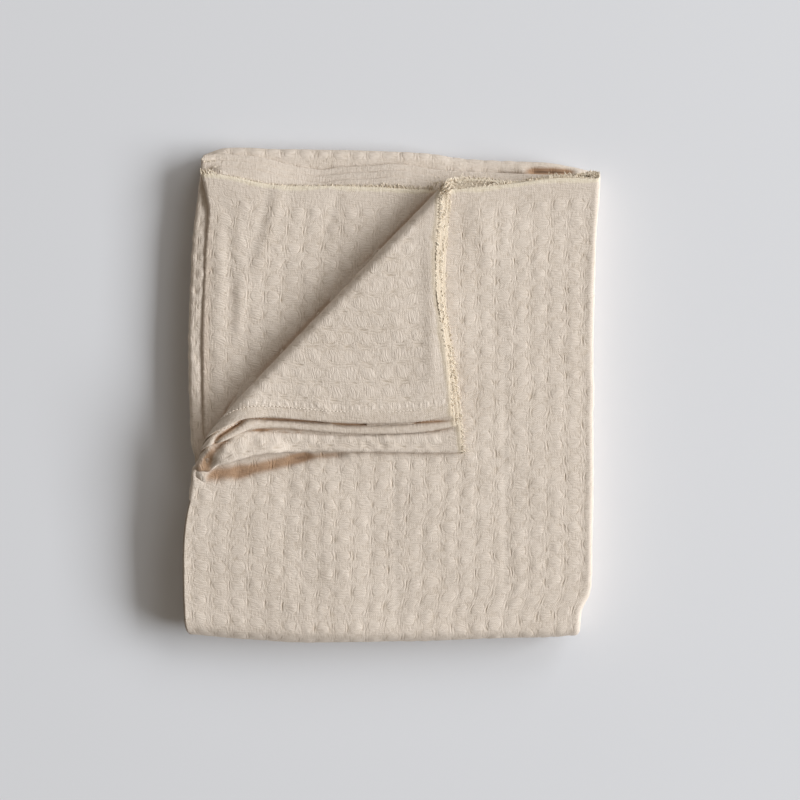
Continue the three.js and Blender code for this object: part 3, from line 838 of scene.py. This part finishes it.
class Shading:
    """A material's node tree, with short ways to add nodes to it."""

    def __init__(self, name):
        self.material = bpy.data.materials.new(name)
        self.material.use_nodes = True
        self.tree = self.material.node_tree
        self.shader = self.tree.nodes["Principled BSDF"]

    def node(self, kind, inputs, **settings):
        """A node with its settings, and its inputs linked or set."""
        made = self.tree.nodes.new(kind)
        for name, value in settings.items():
            setattr(made, name, value)
        for name, value in inputs.items():
            if isinstance(value, bpy.types.NodeSocket):
                self.tree.links.new(value, made.inputs[name])
            else:
                made.inputs[name].default_value = value
        return made

    def math(self, operation, *values):
        """The result of a sum on fields and numbers."""
        return self.node("ShaderNodeMath", dict(enumerate(values)), operation=operation).outputs[0]

    def total(self, *terms):
        """The sum of fields, each with its weight."""
        parts = [self.math("MULTIPLY", field, weight) for field, weight in terms]
        while len(parts) > 1:
            parts = [self.math("ADD", parts[0], parts[1])] + parts[2:]
        return parts[0]

    def wave(self, field, length):
        """A wave from -1 to 1 along a field."""
        return self.math("COSINE", self.math("MULTIPLY", field, 2 * math.pi / length))

    def ease(self, field, low, high):
        """A field eased from 0 at low to 1 at high."""
        inputs = {"Value": field, "From Min": low, "From Max": high}
        made = self.node("ShaderNodeMapRange", inputs, interpolation_type="SMOOTHSTEP")
        return made.outputs["Result"]

    def noise(self, u, v, scale_u, scale_v, detail):
        """Noise over the flat cloth, with its own grain each way, from about -0.5 to 0.5."""
        place = self.node("ShaderNodeCombineXYZ", {
            "X": self.math("MULTIPLY", u, scale_u), "Y": self.math("MULTIPLY", v, scale_v)})
        made = self.node("ShaderNodeTexNoise", {
            "Vector": place.outputs[0], "Scale": 1.0, "Detail": detail})
        return self.math("SUBTRACT", made.outputs["Fac"], 0.5)

    def ramp(self, field, tones):
        """Colours from a field, by a table of places and colours."""
        made = self.node("ShaderNodeValToRGB", {"Fac": field})
        stops = made.color_ramp.elements
        for place, _ in tones[1:-1]:
            stops.new(place)
        for stop, (place, colour) in zip(stops, tones):
            stop.position = place
            stop.color = (*colour, 1)
        return made.outputs["Color"]

    def mix(self, share, first, second):
        """Two colours mixed by a share of the second."""
        made = self.node("ShaderNodeMix", {0: share, 6: first, 7: second}, data_type="RGBA")
        return made.outputs[2]

    def near(self, field, place, reach):
        """1 where a field is at a place, eased to 0 at a reach on both sides."""
        return self.ease(self.math("ABSOLUTE", self.math("SUBTRACT", field, place)), reach, 0)

    def set(self, values):
        """Sets inputs of the shader to fixed values."""
        for name, value in values.items():
            self.shader.inputs[name].default_value = value

    def link(self, field, name):
        """Leads a field to an input of the shader."""
        self.tree.links.new(field, self.shader.inputs[name])

    def bump(self, field, distance, strength):
        """Leads a height to the shader's normal."""
        made = self.node("ShaderNodeBump", {"Height": field, "Distance": distance, "Strength": strength})
        self.link(made.outputs["Normal"], "Normal")


def waffle_marks(look, u, v):
    """The bubbles, the slots between them, and the dark marks in the slots and beside the bubbles, partly
    yarn and partly painted shade of the pits.
    """
    from_u = look.math("PINGPONG", look.math("SUBTRACT", u, HEM_BAND), CELL_U / 2)
    from_v = look.math("PINGPONG", look.math("SUBTRACT", v, SELVEDGE_BAND + CELL_V / 2), CELL_V / 2)
    square_u, square_v = (look.math("MULTIPLY", field, field) for field in (from_u, from_v))
    away = look.math("SQRT", look.math("ADD", square_u, square_v))
    in_row = look.ease(from_v, 4.8, 1.8)
    bubbles = look.ease(away, 5.2, 3.4)
    slots = look.math("MULTIPLY", look.ease(from_u, 4.2, 5.6), in_row)
    cuts = look.math("MULTIPLY", look.near(from_u, CELL_U / 2, 1.1), in_row)
    bows = look.math("MULTIPLY", look.near(away, 4.7, 1.0), look.ease(from_u, 2.0, 4.0))

    def broken(marks, scale, keep):
        """Marks that are strong in places and missing in others."""
        strength = look.math("ADD", look.math("MULTIPLY", look.noise(u, v, scale, scale, 1), 2.6), keep)
        return look.math("MULTIPLY", marks, look.math("MAXIMUM", strength, 0))

    marks = look.total((broken(cuts, 0.13, 0.5), 0.7), (broken(bows, 0.16, 0.4), 0.55))
    return bubbles, slots, marks


def woven_yarns(look, u, v, bubbles, slots):
    """Yarns with slubs: floats one way on the bubbles, the other way in the slots, and else plain weave."""
    warp = look.noise(u, v, 0.2, 1.0, 3)
    weft = look.noise(u, v, 0.9, 0.2, 3)
    plain = look.math("MULTIPLY", look.math("ADD", warp, weft), 0.65)
    yarns = look.math("ADD", plain, look.math("MULTIPLY", bubbles, look.math("SUBTRACT", warp, plain)))
    return look.math("ADD", yarns, look.math("MULTIPLY", slots, look.math("SUBTRACT", weft, plain)))


def linen_colour(look, tone, u, v, to_selvedge, depth):
    """The colour of the cloth: creamier along the selvedges, with painted shade as a darker edge on the
    turned corner and as brown to dark in deep soft folds.
    """
    first = look.math("LESS_THAN", v, FIRST_SELVEDGE)
    worn = look.math("MAXIMUM", look.math("LESS_THAN", u, FIRST_FLAT), first)
    cream = look.math("MULTIPLY", look.ease(to_selvedge, *CREAM), worn)
    from_top = look.math("ABSOLUTE", look.math("SUBTRACT", u, TOP_SELVEDGE["middle"]))
    # Painted shade: the selvedge on the turned corner takes the darker copy of the cream tones.
    painted_flap_shade = look.math("MULTIPLY", first, look.math("GREATER_THAN", from_top, TOP_SELVEDGE["reach"]))
    edge = look.mix(painted_flap_shade, look.ramp(tone, CREAM_TONES), look.ramp(tone, FLAP_RIM_SHADE_TONES))
    colour = look.mix(cream, look.ramp(tone, CLOTH_TONES), edge)
    # Painted shade in the soft folds: brown, and dark in the deepest of them.
    colour = look.mix(look.math("MULTIPLY", look.ease(depth, *PAINTED_SHADE_DEPTHS), 0.8), colour, PAINTED_FOLD_SHADE)
    return look.mix(look.ease(depth, *PAINTED_SHADOW_DEPTHS), colour, PAINTED_FOLD_SHADOW)


def linen():
    """Undyed linen: yarns in floats over the waffle and in plain weave along the edges."""
    look = Shading("linen")
    weave = look.node("ShaderNodeAttribute", {}, attribute_name="weave").outputs["Vector"]
    place = look.node("ShaderNodeSeparateXYZ", {"Vector": weave})
    u, v = place.outputs["X"], place.outputs["Y"]
    u = look.math("ADD", u, look.noise(u, v, 0.4, 0.4, 2))
    v = look.math("ADD", v, look.noise(v, u, 0.4, 0.4, 2))
    to_hem = look.math("MINIMUM", u, look.math("SUBTRACT", CLOTH_WIDTH, u))
    to_selvedge = look.math("MINIMUM", v, look.math("SUBTRACT", CLOTH_LENGTH, v))
    share = look.math("MULTIPLY", look.ease(to_hem, 11, 14), look.ease(to_selvedge, 12, 18))
    bubbles, slots, marks = (look.math("MULTIPLY", field, share) for field in waffle_marks(look, u, v))
    yarns = woven_yarns(look, u, v, bubbles, slots)
    grid = look.math("MULTIPLY", look.wave(u, YARN), look.wave(v, YARN))
    hem_floats = look.math(
        "MULTIPLY", look.near(to_hem, 11, 2.6), look.ease(look.wave(v, HEM_FLOAT), 0.2, 0.9))
    mottle = look.noise(u, v, 0.04, 0.04, 3)
    # In the tone, the marks darken the slots and the sides of the bubbles, partly yarn and partly painted
    # shade, and the bubbles are a little lighter, as painted light on their raised tops.
    tone = look.total(
        (yarns, 0.72), (mottle, 0.22), (grid, 0.03), (hem_floats, 0.14), (bubbles, 0.05), (marks, -0.26),
        (look.ease(to_hem, 10, 8), -0.06))
    tone = look.math("ADD", tone, 0.49)
    look.link(linen_colour(look, tone, u, v, to_selvedge, place.outputs["Z"]), "Base Color")
    look.bump(look.total((yarns, 1.35), (grid, 0.1), (hem_floats, 0.5), (marks, -0.75)), 0.0006, 0.7)
    look.set({"Roughness": 0.92, "Specular IOR Level": 0.15, "Sheen Weight": 0.1, "Sheen Roughness": 0.6})
    return look.material


def loop_yarn():
    """The creamier yarn of the selvedge loops."""
    look = Shading("loop_yarn")
    place = look.node("ShaderNodeTexCoord", {}).outputs["Object"]
    patches = look.node("ShaderNodeTexNoise", {"Vector": place, "Scale": 220.0, "Detail": 2.0})
    look.link(look.ramp(patches.outputs["Fac"], LOOP_TONES), "Base Color")
    fibres = look.node("ShaderNodeTexNoise", {"Vector": place, "Scale": 2500.0, "Detail": 2.0})
    look.bump(fibres.outputs["Fac"], 0.0003, 0.6)
    look.set({"Roughness": 0.9, "Specular IOR Level": 0.15})
    return look.material


def stitch_thread():
    """The sewing thread of the hems, a little lighter than the cloth."""
    look = Shading("stitch_thread")
    place = look.node("ShaderNodeTexCoord", {}).outputs["Object"]
    fibres = look.node("ShaderNodeTexNoise", {"Vector": place, "Scale": 3000.0, "Detail": 2.0})
    look.bump(fibres.outputs["Fac"], 0.0002, 0.5)
    look.set({"Base Color": STITCH_COLOUR, "Roughness": 0.8})
    return look.material


# Floor, lights and camera, in metres
FLOOR_SIZE = 8
FLOOR_DROP = 0.0005  # below the packet
LIGHTS = [
    dict(name="key", place=(11.5, 0.0, 6.0), size=(11, 5), power=2390),
    dict(name="rear", place=(7.5, 9.0, 7.3), size=(8, 6), power=480),
]
LIGHT_COLOUR = (0.96, 1.0, 1.055)
SURROUND = dict(colour=(1.0, 0.89, 0.76, 1), strength=0.2)
SENSOR_MM = 36
CAMERA_HEIGHT = 1.25
TOP_DISTANCE = 1.216  # from the camera to the top of the packet
TOP_WIDTH = 0.6  # of the square picture there
AIM_MM = (6, -3.75)  # the place below the camera, in the frame of the packet's sizes


def make_floor():
    """A plain pale floor under the packet."""
    bpy.ops.mesh.primitive_plane_add(size=FLOOR_SIZE, location=(0, 0, -FLOOR_DROP))
    floor = bpy.context.object
    floor.name = "floor"
    look = Shading("pale_floor")
    look.set({"Base Color": FLOOR_COLOUR, "Roughness": 0.8})
    floor.data.materials.append(look.material)


def add_area_light(name, place, size, power):
    """An oblong area light that faces the packet, its first side level."""
    data = bpy.data.lights.new(name, "AREA")
    data.shape = "RECTANGLE"
    data.size, data.size_y = size
    data.energy = power
    data.color = LIGHT_COLOUR
    light = bpy.data.objects.new(name, data)
    light.location = place
    light.rotation_euler = (Vector() - Vector(place)).to_track_quat("-Z", "Y").to_euler()
    bpy.context.scene.collection.objects.link(light)


def light_scene():
    """A low, soft light on the right, a weak one behind it to the rear, and warmer light from all round."""
    for row in LIGHTS:
        add_area_light(**row)
    world = bpy.data.worlds.new("world")
    bpy.context.scene.world = world
    world.use_nodes = True
    background = world.node_tree.nodes["Background"]
    background.inputs["Color"].default_value = SURROUND["colour"]
    background.inputs["Strength"].default_value = SURROUND["strength"]
    bpy.context.scene.view_settings.view_transform = "Standard"


def add_camera():
    """Straight above the packet."""
    data = bpy.data.cameras.new("camera")
    data.sensor_width = SENSOR_MM
    data.lens = SENSOR_MM * TOP_DISTANCE / TOP_WIDTH
    camera = bpy.data.objects.new("camera", data)
    x, y = ((aim - middle) * MM for aim, middle in zip(AIM_MM, MIDDLE))
    camera.location = (x, y, CAMERA_HEIGHT)
    bpy.context.scene.collection.objects.link(camera)
    bpy.context.scene.camera = camera


def dress(piece, material):
    """Gives a piece its material and sets it on the packet's body."""
    piece.data.materials.append(material)
    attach(piece, "root")


blanket = make_blanket()
loops = make_fringe()
stitches = make_stitches()
dress(blanket, linen())
dress(loops, loop_yarn())
dress(stitches, stitch_thread())
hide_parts("blanket")

make_floor()
light_scene()
add_camera()
